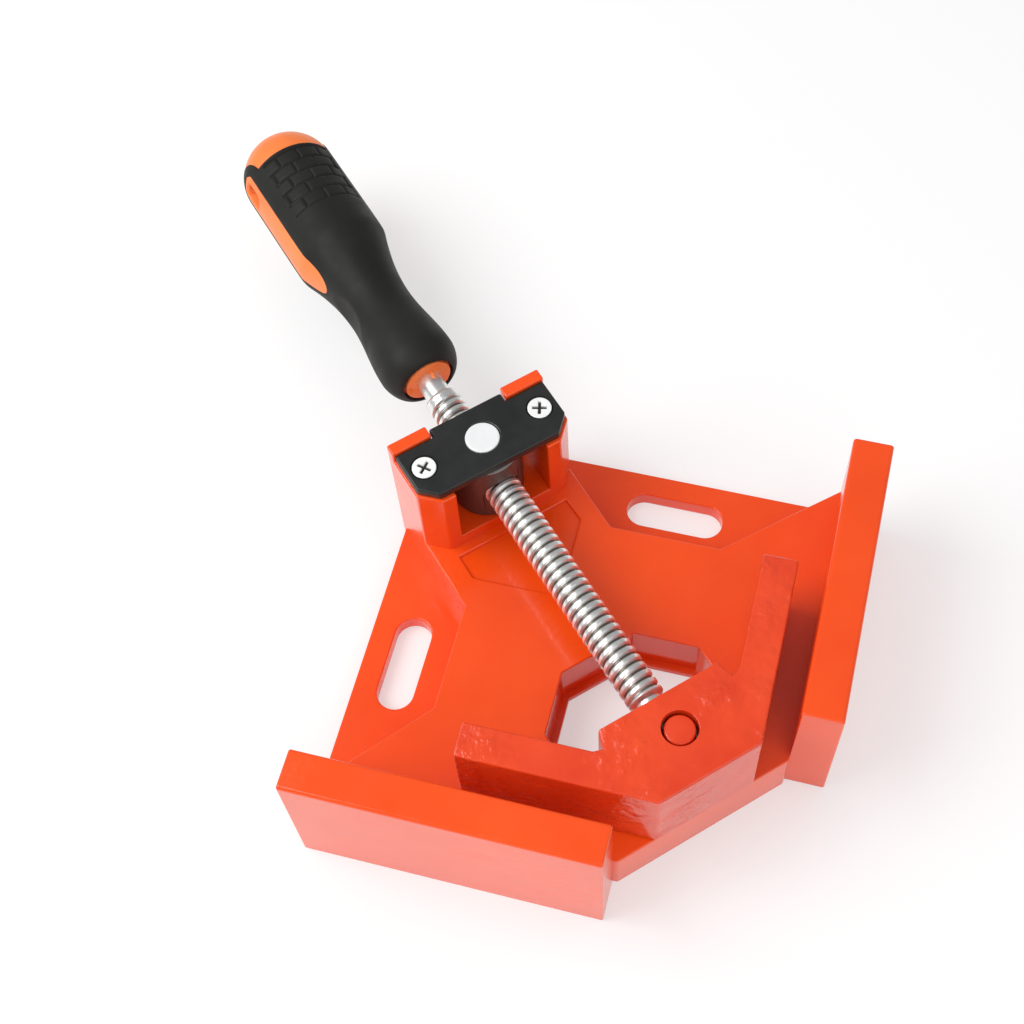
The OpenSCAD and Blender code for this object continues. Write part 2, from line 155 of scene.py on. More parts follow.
castingPaint = glossPaint("castingPaint", dict(
    deep=(0.84, 0.066, 0.004), bright=(0.92, 0.083, 0.006), tintScale=22.0,
    roughness=(0.15, 0.23), coat=0.28, castScale=46.0, castStrength=0.05,
    patchScale=24.0, lumpScale=420.0, lumpStrength=0.12, peelStrength=0.05))
jawPaint = glossPaint("jawPaint", dict(
    deep=(0.70, 0.040, 0.007), bright=(0.82, 0.066, 0.012), tintScale=60.0,
    roughness=(0.18, 0.30), coat=0.30, castScale=110.0, castStrength=0.30,
    patchScale=48.0, lumpScale=260.0, lumpStrength=0.9, peelStrength=0.10))


def plainFinish(name, settings):
    mat, tree, shader = newFinish(name)
    tint = noise(tree, settings["tintScale"])
    colour = ramp(tree, tint, [(0.3, settings["dark"]), (0.7, settings["light"])])
    tree.links.new(colour, shader.inputs["Base Color"])
    rough = mapRange(tree, noise(tree, settings["roughScale"]), 0.3, 0.7, *settings["roughness"])
    tree.links.new(rough, shader.inputs["Roughness"])
    shader.inputs["Specular IOR Level"].default_value = settings["specular"]
    grain = bump(tree, noise(tree, settings["grainScale"]), settings["grainStrength"],
                 settings["grainDistance"])
    tree.links.new(grain, shader.inputs["Normal"])
    return mat


steelGrain = dict(tintScale=160.0, roughScale=420.0, scale=1400.0, strength=0.08, distance=0.00012)


def steelSurface(tree, shader, roughness):
    cfg = steelGrain
    rough = mapRange(tree, noise(tree, cfg["roughScale"]), 0.3, 0.7, *roughness)
    tree.links.new(rough, shader.inputs["Roughness"])
    grain = bump(tree, noise(tree, cfg["scale"]), cfg["strength"], cfg["distance"])
    tree.links.new(grain, shader.inputs["Normal"])


def zincSteel(name, light, dark, roughness, metal=1.0, shadeAndGrime=None):
    # the last colour is mixed in where the mesh attribute named like it says so: painted shade and dirt in
    # hollows
    mat, tree, shader = newFinish(name)
    colour = ramp(tree, noise(tree, steelGrain["tintScale"], 4.0), [(0.35, dark), (0.65, light)])
    if shadeAndGrime:
        amount = node(tree, "ShaderNodeAttribute", attribute_name="shadeAndGrime").outputs["Fac"]
        colour = mixColours(tree, amount, colour, shadeAndGrime)
    tree.links.new(colour, shader.inputs["Base Color"])
    shader.inputs["Metallic"].default_value = metal
    steelSurface(tree, shader, roughness)
    return mat


def nutSteel(settings):
    # bright machined end above the given height; below it a dark reddish colour, painted shade under the
    # cover plate with a painted reflection of the red casting
    mat, tree, shader = newFinish("nutSteel")
    split = node(tree, "ShaderNodeSeparateXYZ")
    tree.links.new(objectSpace(tree), split.inputs["Vector"])
    low, high = settings["height"] - settings["spread"], settings["height"] + settings["spread"]
    above = mapRange(tree, split.outputs["Z"], low, high, 0.0, 1.0)
    tint = noise(tree, steelGrain["tintScale"], 4.0)
    bright = ramp(tree, tint, [(0.35, settings["dull"]), (0.65, settings["bright"])])
    tree.links.new(mixColours(tree, above, settings["shadeAndRedReflection"], bright), shader.inputs["Base Color"])
    shader.inputs["Metallic"].default_value = settings["metal"]
    steelSurface(tree, shader, settings["roughness"])
    return mat


blackPlate = plainFinish("satinBlack", dict(
    dark=(0.012, 0.013, 0.013), light=(0.020, 0.021, 0.020), tintScale=60.0, roughScale=240.0,
    roughness=(0.28, 0.38), specular=0.5, grainScale=900.0, grainStrength=0.12, grainDistance=0.0002))
# the screw's darker thread grooves are painted shade and dirt
zincScrew = zincSteel("zincScrew", light=(0.94, 0.96, 0.95), dark=(0.82, 0.84, 0.83),
                      roughness=(0.26, 0.38), metal=0.85, shadeAndGrime=(0.15, 0.125, 0.10))
# the nut's dark reddish body is painted shade with a painted reflection of the red casting
zincNut = nutSteel(dict(height=0.0508, spread=0.0004, bright=(0.86, 0.88, 0.88), dull=(0.81, 0.83, 0.83),
                        shadeAndRedReflection=(0.10, 0.05, 0.04), metal=0.12, roughness=(0.34, 0.46)))
# the heads' near-black cross recesses are painted shade and dirt
zincHead = zincSteel("zincHead", light=(0.96, 0.97, 0.96), dark=(0.88, 0.89, 0.88),
                     roughness=(0.32, 0.44), metal=0.15, shadeAndGrime=(0.03, 0.033, 0.03))
oiledSteel = zincSteel("oiledSteel", light=(0.16, 0.16, 0.16), dark=(0.10, 0.10, 0.10),
                       roughness=(0.35, 0.45))
gripRubber = plainFinish("softGrip", dict(
    dark=(0.010, 0.010, 0.009), light=(0.017, 0.017, 0.015), tintScale=45.0, roughScale=150.0,
    roughness=(0.50, 0.64), specular=0.28, grainScale=1700.0, grainStrength=0.16, grainDistance=0.00015))
corePlastic = plainFinish("mouldedOrange", dict(
    dark=(0.90, 0.20, 0.040), light=(0.98, 0.25, 0.055), tintScale=35.0, roughScale=200.0,
    roughness=(0.36, 0.46), specular=0.5, grainScale=900.0, grainStrength=0.08, grainDistance=0.0002))
print("finishes made:", len(bpy.data.materials))


# mesh helpers

def meshPiece(name, verts, faces, finish, body, slotName, *nodes):
    data = bpy.data.meshes.new(name)
    data.from_pydata(verts.tolist(), [], faces)
    outwards(data)
    piece = bpy.data.objects.new(name, data)
    bpy.context.scene.collection.objects.link(piece)
    return dress(piece, finish, body, slotName, *nodes)


# stores how much painted shade and dirt darken each point
def addShadeAndGrime(piece, amount):
    layer = piece.data.attributes.new("shadeAndGrime", "FLOAT", "POINT")
    layer.data.foreach_set("value", np.asarray(amount, np.float32))


def outwards(data):
    work = bmesh.new()
    work.from_mesh(data)
    bmesh.ops.recalc_face_normals(work, faces=work.faces)
    work.to_mesh(data)
    work.free()


def bakeModifiers(piece):
    bpy.context.view_layer.update()
    shaped = bpy.data.meshes.new_from_object(piece.evaluated_get(bpy.context.evaluated_depsgraph_get()))
    piece.modifiers.clear()
    piece.data = shaped


def dress(piece, finish, body, slotName, *nodes):
    piece.data.materials.clear()
    piece.data.materials.append(finish)
    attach(piece, body)
    if nodes:
        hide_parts(*nodes)
    return piece


def smooth(piece, degrees):
    data = piece.data
    data.polygons.foreach_set("use_smooth", np.ones(len(data.polygons), bool))
    data.set_sharp_from_angle(angle=math.radians(degrees))


def fillFlats(data, crease):
    # large flat faces, some with holes, become Delaunay triangles within their own outline;
    # edges that turn more than the crease angle stay crisp
    work = bmesh.new()
    work.from_mesh(data)
    for face in [f for f in work.faces if len(f.verts) > 8]:
        corners = list(face.verts)
        side = face.calc_tangent_edge()
        other = face.normal.cross(side)
        flat = [Vector((v.co.dot(side), v.co.dot(other))) for v in corners]
        filled = delaunay_2d_cdt(flat, [], [list(range(len(flat)))], 1, 1e-8, True)
        source = [corners[made[0]] if made else None for made in filled[3]]
        triangles = [[source[i] for i in triangle]
                     for triangle, inside in zip(filled[2], filled[5]) if inside]
        if any(v is None for triangle in triangles for v in triangle):
            continue
        work.faces.remove(face)
        for triangle in triangles:
            if len(set(triangle)) == 3 and not work.faces.get(triangle):
                work.faces.new(triangle)
    bmesh.ops.recalc_face_normals(work, faces=work.faces)
    work.normal_update()
    for face in work.faces:
        face.smooth = True
    for edge in work.edges:
        edge.smooth = len(edge.link_faces) == 2 and edge.calc_face_angle(math.pi) < crease
    work.to_mesh(data)
    work.free()


postFaces = dict(side=27.35, rear=172.133, inset=0.15, near=0.03, deck=19.9, postsFrom=140.0)


def flushPosts(points):
    # brings the posts' outer faces, slightly inside the spine's, level with them
    cfg = {key: value * mm for key, value in postFaces.items()}
    along, across = points @ alongScrew, points @ acrossScrew
    above = points[:, 2] > cfg["deck"]
    onSide = above & (np.abs(np.abs(across) - cfg["side"]) < cfg["near"]) & (along > cfg["postsFrom"])
    onRear = above & (np.abs(along - cfg["rear"]) < cfg["near"])
    sideways = np.where(onSide, cfg["inset"], 0.0)
    backwards = np.where(onRear, cfg["inset"], 0.0)
    return points + backwards[:, None] * alongScrew + (np.sign(across) * sideways)[:, None] * acrossScrew


rounding = dict(merge=5e-6, flatDegrees=0.6, edgeDegrees=25.0, room=1.6, crispShare=0.3, creaseDegrees=35.0)


def bevelShare(edge, settings):
    # 1 for an outer edge with room beside it, less round a hole that stays crisp, 0 for the rest
    if not edge.is_convex or edge.calc_face_angle(0.0) <= math.radians(rounding["edgeDegrees"]):
        return 0.0
    start, run = edge.verts[0].co, (edge.verts[1].co - edge.verts[0].co).normalized()
    room = rounding["room"] * (settings["width"] * mm)
    if any(max((v.co - start).cross(run).length for v in face.verts) <= room for face in edge.link_faces):
        return 0.0
    hole = settings.get("crispHole")
    if hole and all((v.co.xy - Vector(hole["place"])).length < hole["reach"] for v in edge.verts):
        return rounding["crispShare"]
    return 1.0


def roundedCopy(nodeName, newName, settings, finish, body, slotName):
    # the CAD shape with its edges broken: merged, coplanar triangles joined, then a narrow bevel
    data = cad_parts[nodeName].data.copy()
    data.name = newName
    if "adjust" in settings:
        points = np.empty(3 * len(data.vertices), np.float32)
        data.vertices.foreach_get("co", points)
        moved = settings["adjust"](points.reshape(-1, 3).astype(float))
        data.vertices.foreach_set("co", moved.astype(np.float32).ravel())
    work = bmesh.new()
    work.from_mesh(data)
    bmesh.ops.remove_doubles(work, verts=work.verts, dist=rounding["merge"])
    bmesh.ops.dissolve_degenerate(work, edges=work.edges, dist=rounding["merge"])
    bmesh.ops.dissolve_limit(work, angle_limit=math.radians(rounding["flatDegrees"]),
                             verts=work.verts, edges=work.edges)
    weight = work.edges.layers.float.new("bevel_weight_edge")
    for edge in work.edges:
        edge[weight] = bevelShare(edge, settings)
    work.to_mesh(data)
    work.free()
    piece = bpy.data.objects.new(newName, data)
    bpy.context.scene.collection.objects.link(piece)
    bevel = piece.modifiers.new("edges", "BEVEL")
    bevel.width = settings["width"] * mm
    bevel.segments = settings["segments"]
    bevel.limit_method = "WEIGHT"
    bevel.use_clamp_overlap = False
    bakeModifiers(piece)
    fillFlats(piece.data, math.radians(rounding["creaseDegrees"]))
    weighted = piece.modifiers.new("flatFaces", "WEIGHTED_NORMAL")
    weighted.keep_sharp = True
    bakeModifiers(piece)
    return dress(piece, finish, body, slotName, nodeName)


castingEdges = dict(width=0.6, segments=3, adjust=flushPosts)
jawEdges = dict(width=0.8, segments=3, crispHole=dict(place=(0.0325, 0.0325), reach=0.0062))
plateEdges = dict(width=0.7, segments=3)
nutEdges = dict(width=0.45, segments=3)
ringEdges = dict(width=0.15, segments=2)
roundedCopy("clamp_body", "castingSkin", castingEdges, castingPaint, "frame", "casting_paint")
roundedCopy("floating_jaw", "jawSkin", jawEdges, jawPaint, "jaw", "jaw_paint")
roundedCopy("cover_plate", "coverSkin", plateEdges, blackPlate, "frame", "black_steel")
roundedCopy("swivel_nut", "nutSkin", nutEdges, zincNut, "nut", "zinc_nut")
roundedCopy("retaining_ring", "ringSkin", ringEdges, oiledSteel, "spindle", "spring_steel")
print("casting, jaw and plate edges rounded")


# surfaces worked out on grids

def screwPoint(d, radius, angle):
    # d along the screw from the corner, radius from its axis, angle from the top towards the right
    d, radius, angle = np.broadcast_arrays(d, radius, angle)
    return mm * (d[..., None] * alongScrew + (radius * np.sin(angle))[..., None] * acrossScrew
                 + (screwHeight + radius * np.cos(angle))[..., None] * upwards)


def closedTube(rings):
    # rings of points joined row to row, with a fan to a middle point at both ends
    rows, cols = rings.shape[:2]
    ids = np.arange(rows * cols).reshape(rows, cols)
    after = np.roll(ids, -1, axis=1)
    quads = np.stack([ids[:-1], after[:-1], after[1:], ids[1:]], axis=-1).reshape(-1, 4)
    startFan = np.stack([after[0], ids[0], np.full(cols, rows * cols)], axis=-1)
    endFan = np.stack([ids[-1], after[-1], np.full(cols, rows * cols + 1)], axis=-1)
    verts = np.concatenate([rings.reshape(-1, 3), rings[:1].mean(axis=1), rings[-1:].mean(axis=1)])
    return verts, quads.tolist() + startFan.tolist() + endFan.tolist()


def closedSleeve(rings):
    # rings joined row to row and the last row back to the first, as a wall with an outside and an inside
    rows, cols = rings.shape[:2]
    ids = np.arange(rows * cols).reshape(rows, cols)
    after, below = np.roll(ids, -1, axis=1), np.roll(ids, -1, axis=0)
    quads = np.stack([ids, after, np.roll(below, -1, axis=1), below], axis=-1).reshape(-1, 4)
    return rings.reshape(-1, 3), quads.tolist()


def joined(*parts):
    verts, faces, start = [], [], 0
    for partVerts, partFaces in parts:
        verts.append(partVerts)
        faces += [[start + i for i in face] for face in partFaces]
        start += len(partVerts)
    return np.concatenate(verts), faces


def step(low, high, value):
    # eases from 0 at low to 1 at high
    t = np.clip((value - low) / (high - low), 0.0, 1.0)
    return t * t * (3.0 - 2.0 * t)


def aroundCircle(columns):
    return np.linspace(0.0, 2.0 * math.pi, columns, endpoint=False)[None, :]


# lead screw

leadScrew = dict(
    columns=64, pitch=3.0, stepsPerTurn=18, depth=0.80, groove=(0.18, 0.42), shadeAndDirt=(0.27, 0.44),
    threadFrom=62.06, threadTo=187.4, fullAfter=0.8, runIn=2.2, runOut=4.2,
    outline=[(37.36, 2.7), (37.8, 3.3), (38.0, 3.5), (38.88, 3.5), (38.9, 2.9), (40.2, 2.9), (40.22, 3.5),
             (51.5, 3.5), (51.58, 4.3), (51.8, 4.5), (62.0, 4.5), (62.06, 4.5), (62.9, 5.7), (63.3, 6.0),
             (188.0, 6.0), (188.6, 5.7), (189.0, 4.6), (189.2, 4.3), (271.6, 4.3), (272.1, 3.8)])


def leadScrewGrid():
    # radius follows the turned outline, less a groove whose phase is d / pitch - angle / one turn;
    # a darker colour in the groove is painted shade and dirt
    cfg = leadScrew
    outline = np.array(cfg["outline"])
    fine = np.arange(cfg["threadFrom"], cfg["threadTo"], cfg["pitch"] / cfg["stepsPerTurn"])
    d = np.unique(np.concatenate([outline[:, 0], fine]))[:, None]
    angle = aroundCircle(cfg["columns"])
    phase = d / cfg["pitch"] - angle / (2.0 * math.pi)
    fromCrest = np.abs(phase - np.round(phase))
    deepens = cfg["threadFrom"] + cfg["fullAfter"]
    full = step(deepens, deepens + cfg["runIn"], d)
    full = full * (1.0 - step(cfg["threadTo"] - cfg["runOut"], cfg["threadTo"], d))
    cut = cfg["depth"] * step(*cfg["groove"], fromCrest) * full
    radius = np.interp(d, outline[:, 0], outline[:, 1]) - cut
    shadeAndDirt = (step(*cfg["shadeAndDirt"], fromCrest) * full).ravel()
    return closedTube(screwPoint(d, radius, angle)), np.append(shadeAndDirt, [0.0, 0.0])


threadGrid, threadShadeAndDirt = leadScrewGrid()
spindle = meshPiece("threadedScrew", *threadGrid, zincScrew, "spindle", "zinc_screw", "lead_screw")
# darkens the thread's grooves: painted shade and dirt
addShadeAndGrime(spindle, threadShadeAndDirt)
smooth(spindle, degrees=50.0)
print("thread cut:", len(spindle.data.polygons), "faces")


# pivot pin

pivotPin = dict(columns=72, at=45.962, radius=4.65, foot=21.6, chamfer=0.5, top=51.5, edge=0.6, crown=0.25)


def pivotPinGrid():
    # rings up the pin, round its top edge and in over a slightly crowned top
    cfg = pivotPin
    corner = np.linspace(0.0, math.pi / 2, 6)
    inner = np.linspace(cfg["radius"] - cfg["edge"], 0.3, 7)[1:]
    shoulder = cfg["top"] - cfg["crown"]
    footR = [cfg["radius"] - cfg["chamfer"], cfg["radius"]]
    footZ = [cfg["foot"], cfg["foot"] + cfg["chamfer"]]
    edgeR = cfg["radius"] - cfg["edge"] * (1.0 - np.cos(corner))
    edgeZ = shoulder - cfg["edge"] * (1.0 - np.sin(corner))
    crownZ = cfg["top"] - cfg["crown"] * (inner / (cfg["radius"] - cfg["edge"])) ** 2
    radius = np.concatenate([footR, edgeR, inner])
    height = np.concatenate([footZ, edgeZ, crownZ])
    angle = aroundCircle(cfg["columns"])
    along = cfg["at"] + radius[:, None] * np.cos(angle)
    across = radius[:, None] * np.sin(angle)
    return closedTube(mm * (along[..., None] * alongScrew + across[..., None] * acrossScrew
                            + height[:, None, None] * upwards))


pin = meshPiece("pivotSkin", *pivotPinGrid(), jawPaint, "pivot", "pivot_paint", "pivot_pin")
smooth(pin, degrees=40.0)


# cover screws

crossScrew = dict(columns=112, top=54.2, nutAt=159.583, side=20.95, radius=3.88, edge=0.3, cone=2.0,
                  shank=2.3, length=15.9, tipDrop=0.6, tipIn=0.5, armLength=2.45, armHalf=0.58, depth=1.6,
                  slope=0.42, shadeAndDirt=(0.15, 0.6), turns=dict(left=-34.0, right=32.0))


def crossScrewGrid(side, turnDegrees):
    # rings spread over the flat head, sunk by the cross; then edge, cone and shank as rings of falling height
    cfg = crossScrew
    angle = aroundCircle(cfg["columns"])
    top = np.linspace(0.05, cfg["radius"] - cfg["edge"], 40)
    rim = cfg["radius"] - cfg["edge"] * (1.0 - np.sin(np.linspace(0.2, 1.0, 5) * math.pi / 2))
    fall = -cfg["edge"] * (1.0 - np.cos(np.linspace(0.2, 1.0, 5) * math.pi / 2))
    shankR = [cfg["shank"], cfg["shank"], cfg["shank"] - cfg["tipIn"]]
    shankZ = [-cfg["edge"] - cfg["cone"], cfg["tipDrop"] - cfg["length"], -cfg["length"]]
    radius = np.concatenate([top, rim, shankR])[:, None]
    height = np.concatenate([0.0 * top, fall, shankZ])[:, None]
    turn = math.radians(turnDegrees)
    x, y = np.abs(radius * np.cos(angle - turn)), np.abs(radius * np.sin(angle - turn))
    inside = np.maximum(np.minimum(cfg["armHalf"] - y, cfg["armLength"] - x),
                        np.minimum(cfg["armHalf"] - x, cfg["armLength"] - y))
    sunk = cfg["depth"] * step(-0.02, 0.30, inside) * (1.0 - cfg["slope"] * radius / cfg["armLength"])
    sunk = np.where(height > -1e-6, sunk, 0.0)
    height = height - sunk
    across = side * cfg["side"] + radius * np.sin(angle)
    along = cfg["nutAt"] + radius * np.cos(angle)
    rings = mm * (along[..., None] * alongScrew + across[..., None] * acrossScrew
                  + (cfg["top"] + height)[..., None] * upwards)
    # the cross recess darkens towards its bottom: painted shade and dirt
    return closedTube(rings), np.append(step(*cfg["shadeAndDirt"], sunk / cfg["depth"]).ravel(), [1.0, 0.0])


for label, side in (("left", -1.0), ("right", 1.0)):
    headGrid, headShadeAndDirt = crossScrewGrid(side, crossScrew["turns"][label])
    head = meshPiece("crossScrew_" + label, *headGrid,
                     zincHead, "frame", "zinc_fastener", "cover_screw_" + label)
    # darkens the cross recess: painted shade and dirt
    addShadeAndGrime(head, headShadeAndDirt)
    smooth(head, degrees=40.0)
print("cover screws with cross recesses placed")


# handle: an orange core that shows as cap, strips and front disc, and a black grip over it

handleShape = dict(at=197.562, length=120.0, disc=8.4, face=9.2, collar=13.6, waist=11.4, palm=16.8,
                   collarAt=0.07, waistAt=0.28, palmAt=0.517, buttAt=0.867, noseRound=1.7, shoulder=0.5,
                   swellLimit=1.4, swellRun=8.0, turn=12.0,
                   thumbAt=34.8, thumbRadius=28.0, thumbDepth=1.0, thumbSoft=0.35)
stripShape = dict(half=5.6, tip=50.0, point=14.0, end=106.6, corner=2.0)
capShape = dict(start=103.2, tongueHalf=9.6, tongueEnd=112.4, girth=16.4)
holeShape = dict(middle=100.4, length=9.2, width=5.6, corner=1.8, rim=0.9)
brickShape = dict(start=75.4, row=5.25, rows=5, brick=8.2, half=13.6, grooveDepth=0.62, grooveHalf=0.42,
                  sink=0.22)
layers = dict(gripLift=0.14, gripWall=2.0, stripDrop=1.5, coreSink=0.10, coreUnder=2.0, holeRound=1.1)


def handleRadius(d):
    # blunt nose up to the collar, eased in to the waist, a parabola out to the straight palm,
    # half an ellipse as butt
    cfg = handleShape
    length, palm = cfg["length"], cfg["palm"]
    places = ("collarAt", "waistAt", "palmAt", "buttAt")
    collarAt, waistAt, palmAt, buttAt = (cfg[place] * length for place in places)
    ease = lambda t: (1.0 - np.cos(math.pi * np.clip(t, 0.0, 1.0))) / 2.0
    noseT = np.clip(d / collarAt, 0.0, 1.0)
    power = cfg["noseRound"]
    nose = cfg["face"] + (cfg["collar"] - cfg["face"]) * (1.0 - (1.0 - noseT) ** power) ** (1.0 / power)
    neck = cfg["collar"] + (cfg["waist"] - cfg["collar"]) * ease((d - collarAt) / (waistAt - collarAt))
    swellT = np.clip((d - waistAt) / (palmAt - waistAt), 0.0, cfg["swellLimit"])
    swell = cfg["waist"] + (palm - cfg["waist"]) * swellT ** 2
    spread = 0.5 * np.hypot(palm - swell, cfg["shoulder"])   # rounds the shoulder
    swell = 0.5 * (palm + swell) - spread
    buttT = np.clip((d - buttAt) / (length - buttAt), 0.0, 1.0)
    butt = palm * np.sqrt(1.0 - buttT ** 2)
    return np.select([d < collarAt, d < waistAt, d < palmAt + cfg["swellRun"], d < buttAt],
                     [nose, neck, swell, palm + 0.0 * d], butt)


def thumbCut(d, radius, psi):
    # a round trough across each strip side at the waist takes off what lies outside it
    cfg = handleShape
    away = d - cfg["thumbAt"]
    middle = cfg["waist"] - cfg["thumbDepth"] + cfg["thumbRadius"]
    trough = middle - np.sqrt(np.maximum(cfg["thumbRadius"] ** 2 - away ** 2, 0.0))
    reach = trough / np.maximum(np.abs(np.cos(psi)), 1e-3)
    near = np.abs(away) < cfg["thumbRadius"] - 1.0
    soft = cfg["thumbSoft"]   # rounds the trough's edges
    blend = np.clip(0.5 + 0.5 * (reach - radius) / soft, 0.0, 1.0)
    return np.where(near, reach + (radius - reach) * blend - soft * blend * (1.0 - blend), radius)


def stripDepth(d, side):
    # how far inside a strip a point lies: straight sides, cut rear corners, half an ellipse as the tip
    cfg = stripShape
    body = np.minimum(cfg["half"] - side, cfg["end"] - d)
    body = np.minimum(body, (cfg["half"] - side + cfg["end"] - d - cfg["corner"]) * halfRoot)
    tipD = np.maximum((cfg["tip"] + cfg["point"] - d) / cfg["point"], 0.0)
    return np.where(tipD > 0.0, (1.0 - np.hypot(tipD, side / cfg["half"])) * cfg["half"], body)


def gripEnd(psi):
    # where the grip stops: a ring, with a half-ellipse tongue into the cap on each strip side
    cfg = capShape
    side = np.abs(cfg["girth"] * np.sin(psi)) / cfg["tongueHalf"]
    return cfg["start"] + (cfg["tongueEnd"] - cfg["start"]) * np.sqrt(np.maximum(1.0 - side ** 2, 0.0))


def holeDepth(d, side):
    # how far inside the hanging hole a point lies: a rectangle with round corners
    cfg = holeShape
    endways = np.abs(d - cfg["middle"]) - cfg["length"] / 2 + cfg["corner"]
    sideways = side - cfg["width"] / 2 + cfg["corner"]
    corner = np.hypot(np.maximum(endways, 0.0), np.maximum(sideways, 0.0))
    return cfg["corner"] - corner - np.minimum(np.maximum(endways, sideways), 0.0)


def handlePoint(d, radius, psi):
    # psi is measured from the left strip's middle line upwards
    angle = psi + math.radians(handleShape["turn"] - 90.0)
    return screwPoint(handleShape["at"] + d, radius, angle)


coreRows = dict(columns=236, neck=(1.7, 49.0, 44), strips=(49.4, 111.0, 0.45), capLength=8.8, cap=34,
                disc=[4.4, 3.6, 2.9, 2.2, 1.4, 0.6, 0.15, 0.0])
facePits = dict(count=3.0, turn=0.7, width=(0.55, 0.95), inner=(5.4, 6.0), outer=(7.2, 7.7), depth=0.55)


def corePiece():
    # the handle's outline where the core shows, less where the grip covers it, rounded into the hole
    psi = aroundCircle(coreRows["columns"])
    capTurn = np.linspace(0.0, 1.0, coreRows["cap"]) * math.pi / 2
    cap = handleShape["length"] - coreRows["capLength"] * (1.0 - np.sin(capTurn))
    d = np.concatenate([np.linspace(*coreRows["neck"]), np.arange(*coreRows["strips"]), cap])[:, None]
    radius = thumbCut(d, handleRadius(d), psi)
    side = np.abs(radius * np.sin(psi))
    shows = np.maximum(stripDepth(d, side), d - gripEnd(psi))
    skin = radius - layers["coreSink"] - layers["coreUnder"] * (1.0 - step(-1.5, -0.6, shows))
    skin = skin - layers["holeRound"] * step(-holeShape["rim"], 0.2, holeDepth(d, side)) ** 2
    skin = np.maximum(skin, 0.4)
    disc = handleShape["disc"]
    faceR = disc - np.array(coreRows["disc"])[:, None]
    pits = step(*facePits["width"], np.cos(facePits["count"] * psi + facePits["turn"]))
    pits = pits * step(*facePits["inner"], faceR) * (1.0 - step(*facePits["outer"], faceR))
    faceD = 0.12 + facePits["depth"] * pits + np.where(faceR > disc - 0.2, 0.12, 0.0)
    faceD = faceD + np.where(faceR > disc - 0.05, 1.2, 0.0)
    return np.concatenate([handlePoint(faceD, faceR + 0.0 * psi, psi), handlePoint(d + 0.0 * psi, skin, psi)])


shankFin = dict(rows=(-2.9, 0.5, 9), columns=14, grows=(-3.1, -0.6), turnDegrees=16.0, middle=4.2,
                height=(0.15, 0.85), width=(0.10, 0.07))


def shankRib():
    # a small moulded fin on the shank: ellipses along it, growing towards the front disc
    cfg = shankFin
    d = np.linspace(*cfg["rows"])[:, None]
    turn = aroundCircle(cfg["columns"])
    grow = step(*cfg["grows"], d)
    radius = cfg["middle"] + (cfg["height"][0] + cfg["height"][1] * grow) * np.cos(turn)
    angle = math.radians(cfg["turnDegrees"]) + (cfg["width"][0] + cfg["width"][1] * grow) * np.sin(turn)
    return closedTube(screwPoint(handleShape["at"] + d, radius, angle))


gripRows = dict(columns=288, nose=(0.0, 14.0, 34), waist=(14.6, 48.0, 48), palm=(48.4, 72.0, 0.5),
                bricks=(72.1, 96.0, 0.29), tailFrom=96.0, tail=26, lipFrom=0.93, lip=6, lipDrop=0.75)


def gripPiece():
    # outside: the outline plus a little, grooved as brickwork, dropping where a strip shows and ending
    # at the cap; inside: a wall's thickness below the outline, back to the front
    edge = math.asin(capShape["tongueHalf"] / capShape["girth"]) - np.radians(np.linspace(0.0, 1.5, 9))
    psi = np.concatenate([aroundCircle(gripRows["columns"])[0],
                          edge, math.pi - edge, math.pi + edge, 2.0 * math.pi - edge])
    psi = np.unique(psi)[None, :]   # more columns where a tongue ends
    tailFrom, lipFrom = gripRows["tailFrom"], gripRows["lipFrom"]
    rest = np.concatenate([np.linspace(*gripRows["nose"]), np.linspace(*gripRows["waist"]),
                           np.arange(*gripRows["palm"]), np.arange(*gripRows["bricks"])])[:, None]
    roundD = np.sin(np.linspace(0.0, 1.0, gripRows["lip"]) * math.pi / 2)
    tailT = np.concatenate([np.linspace(0.02, lipFrom, gripRows["tail"]),
                            lipFrom + (1.0 - lipFrom) * roundD[1:]])[:, None]
    tail = tailFrom + (gripEnd(psi) - tailFrom) * tailT
    d = np.concatenate([rest + 0.0 * psi, tail])
    radius = thumbCut(d, handleRadius(d), psi)
    side = np.abs(radius * np.sin(psi))
    strip = stripDepth(d, side)
    skin = radius + layers["gripLift"] - layers["stripDrop"] * step(-0.45, 0.65, strip)
    cfg = brickShape
    fromTop = np.abs(np.mod(psi, math.pi) - math.pi / 2)
    arc = np.where(np.sin(psi) > 0, 1.0, -1.0) * radius * (np.mod(psi, math.pi) - math.pi / 2)
    row = (d - cfg["start"]) / cfg["row"]
    column = arc / cfg["brick"] + 0.5 * np.mod(np.floor(row), 2.0)
    rowLine = np.abs(row - np.round(row)) * cfg["row"]
    columnLine = np.abs(column - np.round(column)) * cfg["brick"]
    panel = step(-0.4, 0.1, d - cfg["start"] + 0.2)
    panel = panel * (1.0 - step(cfg["half"] - 0.5, cfg["half"] + 0.3, radius * fromTop))
    panel = panel * (1.0 - step(0.2, 1.0, d - cfg["start"] - cfg["row"] * cfg["rows"]))
    groove = np.exp(-(np.minimum(rowLine, columnLine) / cfg["grooveHalf"]) ** 2)
    skin = skin - panel * (cfg["sink"] + cfg["grooveDepth"] * groove)
    lipDrop = gripRows["lipDrop"] * (1.0 - np.sqrt(1.0 - roundD[1:, None] ** 2))
    skin = skin - np.concatenate([0.0 * rest, np.zeros((gripRows["tail"], 1)), lipDrop])
    insideRows = np.concatenate([np.arange(len(rest) + len(tailT) - 1, 60, -9), [40, 24, 12, 6]])
    insideSkin = radius[insideRows] - layers["gripWall"]
    insideSkin[-1] = handleShape["disc"] + 0.6
    lip = handlePoint(1.9 + 0.0 * psi, handleShape["disc"] + 0.15 + 0.0 * psi, psi)
    return np.concatenate([handlePoint(d, skin, psi), handlePoint(d[insideRows], insideSkin, psi), lip])


